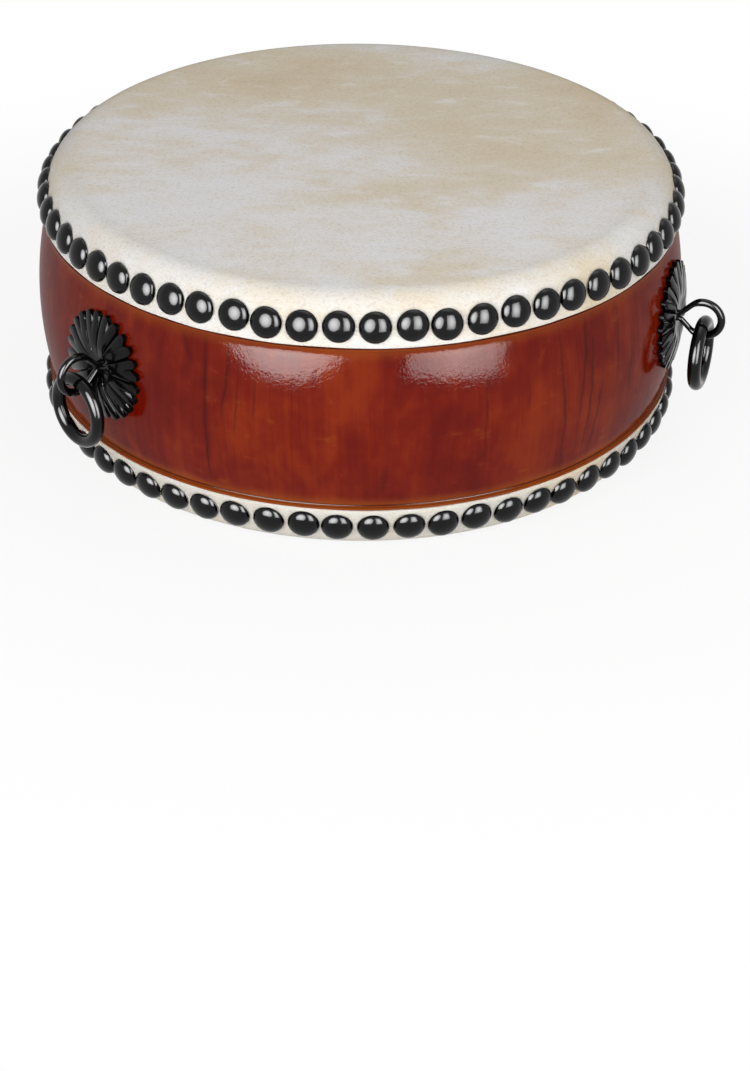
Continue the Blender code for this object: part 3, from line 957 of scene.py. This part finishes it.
    def pin_half(self) -> list[tuple[float, float, float]]:
        """Upper half of the split pin from the eye's far side to its tail, as out, up and wire size."""
        points = []
        last = math.pi / 2 + self.leg_angle
        for step in range(25):
            turn = last * step / 24
            points.append((self.reach + self.eye_radius * math.cos(turn), self.eye_radius * math.sin(turn),
                           self.eye_wire + (self.leg_wire - self.eye_wire) * smoothstep(0.75, 1.0, step / 24)))
        start = self.hub + self.gap
        for step in range(1, 7):
            turn = self.leg_angle * (1 - step / 6)
            points.append((start + self.leg_bend * math.sin(turn),
                           self.leg_offset + self.leg_bend * (1 - math.cos(turn)), self.leg_wire))
        wall = self.barrel.belly_radius - self.barrel.mid_wall - self.barrel.belly(self.rise)
        wall -= 3 * self.gap + self.leg_wire / 2
        for step in range(7):
            turn = math.pi / 2 * step / 6
            points.append((wall + self.leg_bend * (1 - math.sin(turn)),
                           self.leg_offset + self.leg_bend * (1 - math.cos(turn)), self.leg_wire))
        points.append((wall, self.leg_offset + self.tail - self.leg_wire, self.leg_wire))
        return points

    def build_pin(self, finish: bpy.types.Material) -> bpy.types.Object:
        """Make the split pin, with its round eye.

        Args:
            finish: its black gloss.

        Returns:
            The pin, in place of its CAD node.
        """
        half = self.pin_half()
        path = [(x, -y, w) for x, y, w in reversed(half[1:])] + half
        points = [Vector((0.0, -x, y)) for x, y, _ in path]
        bm = tube(points, [w / 2 for _, _, w in path], Vector((1.0, 0.0, 0.0)), 20, closed=False)
        bmesh.ops.transform(bm, matrix=self.place(), verts=bm.verts)
        pin = show(f"eye_pin_{self.index}", bm, finish)
        return seat(pin, "drum", [f"split_pin_{self.index}"])

    def build_ring(self, finish: bpy.types.Material) -> bpy.types.Object:
        """Make the loose ring, hanging in the eye.

        Args:
            finish: its black gloss.

        Returns:
            The ring, in place of its CAD node.
        """
        drop = -self.eye_radius + self.eye_wire / 2 + self.play + self.ring_wire / 2
        centre = Vector((0.0, -self.reach, drop - self.ring_radius))
        turns = [2 * math.pi * i / 96 for i in range(96)]
        path = [centre + Vector((math.sin(t), 0.0, math.cos(t))) * self.ring_radius for t in turns]
        bm = tube(path, [self.ring_wire / 2] * len(path), Vector((0.0, 1.0, 0.0)), 32, closed=True)
        bmesh.ops.transform(bm, matrix=self.place(), verts=bm.verts)
        ring = show(f"loose_ring_{self.index}", bm, finish)
        return seat(ring, f"ring_{self.index}", [f"ring_{self.index}"])


# The studio

@dataclass
class Softbox:
    """A plain flat lamp that faces the drum. Its reflection can be brighter than its light."""

    name: str
    azimuth: float
    elevation: float
    distance: float
    width: float
    height: float
    watts: float
    gloss: float = 1.0
    shape: str = "RECTANGLE"
    roll: float = 0.0
    apart: float = 0.01
    bright: float = 1.6
    dim: float = 0.6

    def shade(self, lamp: bpy.types.Light) -> None:
        """Make the lamp's face brighter in the middle than at its edge."""
        g = Graph(lamp)
        spot = g.node("ShaderNodeVectorMath", operation="DISTANCE")
        g.put(spot.inputs[0], g.node("ShaderNodeNewGeometry").outputs["Parametric"])
        g.put(spot.inputs[1], (0.5, 0.5, 0.0))
        g.set("Strength", g.spread(spot.outputs["Value"], 0.05, 0.60, self.bright, self.dim))

    def build(self, target: Vector) -> None:
        """Hang the lamp, as one that lights and one that is only seen in reflections.

        Args:
            target: the point that it faces.
        """
        a, e = math.radians(self.azimuth), math.radians(self.elevation)
        back = Vector((math.sin(a) * math.cos(e), -math.cos(a) * math.cos(e), math.sin(e)))
        turn = back.to_track_quat("Z", "Y").to_matrix() @ Matrix.Rotation(math.radians(self.roll), 3, "Z")
        near = self.distance - self.apart
        for role, gain, place in (("light", 1.0, self.distance), ("gloss", self.gloss, near)):
            lamp = bpy.data.lights.new(f"{self.name}_{role}", "AREA")
            lamp.shape = self.shape
            lamp.size, lamp.size_y = self.width, self.height
            lamp.energy = self.watts * gain
            if role == "gloss":
                self.shade(lamp)
            obj = bpy.data.objects.new(lamp.name, lamp)
            obj.visible_diffuse = role == "light"
            obj.visible_glossy = role == "gloss"
            obj.location = target + back * place
            obj.rotation_euler = turn.to_euler()
            bpy.context.collection.objects.link(obj)


@dataclass
class Studio:
    """Pale floor, lamps and camera."""

    centre: Vector = field(default_factory=lambda: Vector((0.0, 0.0, 0.085)))
    azimuth: float = 48.45
    elevation: float = 27.0
    roll: float = 0.52
    distance: float = 1.722
    lens: float = 88.9
    shift_x: float = 0.0137
    shift_y: float = -0.2450
    floor_radius: float = 0.62
    floor_tone: float = 0.80
    floor_white: float = 0.85
    ambient: float = 0.25

    def white_out(self, g: Graph, share: object) -> None:
        """Show the same white to camera, glossy and transmission rays.

        Args:
            g: graph of the floor or the world, whose own shader goes on lighting the drum.
            share: how much of what they see is this white. The rest, on the floor, holds the drum's shadow.
        """
        rays = g.node("ShaderNodeLightPath").outputs
        seen = g.math("MAXIMUM", rays["Is Camera Ray"], rays["Is Glossy Ray"])
        seen = g.math("MULTIPLY", g.math("MAXIMUM", seen, rays["Is Transmission Ray"]), share)
        white = g.node("ShaderNodeEmission")
        white.inputs["Color"].default_value = (1.0, 1.0, 1.0, 1.0)
        white.inputs["Strength"].default_value = 1.0
        mixed = g.node("ShaderNodeMixShader")
        out = next(n for n in g.tree.nodes if n.bl_idname.startswith("ShaderNodeOutput"))
        g.put(mixed.inputs[0], seen)
        g.put(mixed.inputs[1], g.shader.outputs[0])
        g.put(mixed.inputs[2], white.outputs[0])
        g.put(out.inputs["Surface"], mixed.outputs[0])

    def build_floor(self) -> bpy.types.Object:
        """Lay the floor, a round table top."""
        bm = bmesh.new()
        bmesh.ops.create_circle(bm, cap_ends=True, segments=96, radius=self.floor_radius)
        bmesh.ops.translate(bm, vec=(0.0, 0.0, -0.0005), verts=bm.verts)
        g = Graph(bpy.data.materials.new("studio_floor"))
        g.set("Base Color", (self.floor_tone,) * 3)
        g.set("Roughness", 0.9)
        g.set("Specular IOR Level", 0.0)
        spot = g.node("ShaderNodeVectorMath", operation="LENGTH")
        g.put(spot.inputs[0], g.node("ShaderNodeTexCoord").outputs["Object"])
        reach = (self.floor_radius * 0.5, self.floor_radius * 0.95)
        self.white_out(g, g.spread(spot.outputs["Value"], *reach, self.floor_white, 1.0))
        floor = show("studio_floor", bm, g.owner)
        return floor

    def build_world(self) -> None:
        """Surround the drum with soft grey light that looks white."""
        world = bpy.data.worlds.new("studio_world")
        bpy.context.scene.world = world
        g = Graph(world)
        g.set("Color", (1.0, 1.0, 1.0))
        g.set("Strength", self.ambient)
        self.white_out(g, 1.0)

    def build_lamps(self) -> None:
        """Hang two tall softboxes in front and a large one overhead."""
        target = self.centre
        lamps = (
            Softbox("left_softbox", self.azimuth - 24.0, 17.0, 1.6, 1.42, 1.66, 25.5, 6.0, "ELLIPSE"),
            Softbox("right_softbox", self.azimuth + 34.0, 17.0, 1.6, 0.95, 1.66, 15.5, 7.0, roll=-9.0),
            Softbox("overhead", self.azimuth + 150.0, 72.0, 1.7, 1.8, 1.3, 10.0),
        )
        for lamp in lamps:
            lamp.build(target)
            LOG.info("%s at azimuth %.0f", lamp.name, lamp.azimuth)

    def build_camera(self) -> bpy.types.Object:
        """Set up the camera at the photograph's angle."""
        data = bpy.data.cameras.new("camera")
        data.lens = self.lens
        data.sensor_width = 36.0
        data.shift_x = self.shift_x
        data.shift_y = self.shift_y
        obj = bpy.data.objects.new("camera", data)
        a, e = math.radians(self.azimuth), math.radians(self.elevation)
        back = Vector((math.sin(a) * math.cos(e), -math.cos(a) * math.cos(e), math.sin(e)))
        obj.location = self.centre + back * self.distance
        turn = back.to_track_quat("Z", "Y").to_matrix() @ Matrix.Rotation(math.radians(self.roll), 3, "Z")
        obj.rotation_euler = turn.to_euler()
        bpy.context.collection.objects.link(obj)
        bpy.context.scene.camera = obj
        return obj

    def build(self) -> None:
        """Set up the whole studio."""
        self.build_floor()
        self.build_world()
        self.build_lamps()
        self.build_camera()
        bpy.context.scene.view_settings.view_transform = "Standard"


def main() -> None:
    """Build the studio and the drum."""
    logging.basicConfig(level=logging.INFO, format="%(name)s: %(message)s")
    Studio().build()
    hide = Hide()
    barrel = Barrel()
    barrel.build(hide)
    hide.build(Head.TOP, Rawhide("rawhide_top"), seed=3)
    # The lower skin's side colour is darker than the upper skin's: this is painted shade on its down-facing side
    # band.
    hide.build(Head.BOTTOM, Rawhide("rawhide_bottom", side=(0.545, 0.530, 0.490), seed=5.0), seed=8)
    tacks = TackRow(hide)
    tack_black = BlackGloss("black_tack", roughness=0.11, texture=0.06).make()
    tacks.build(Head.TOP, tack_black, seed=11)
    tacks.build(Head.BOTTOM, tack_black, seed=23)
    plate_black = BlackGloss("black_plate", roughness=0.12, texture=0.12, specular=0.13).make()
    iron_black = BlackGloss("black_iron", roughness=0.09, texture=0.08).make()
    for index in (1, 2, 3):
        handle = Handle(barrel, index)
        handle.build_plate(plate_black)
        handle.build_pin(iron_black)
        handle.build_ring(iron_black)


if __name__ == "__main__":
    main()
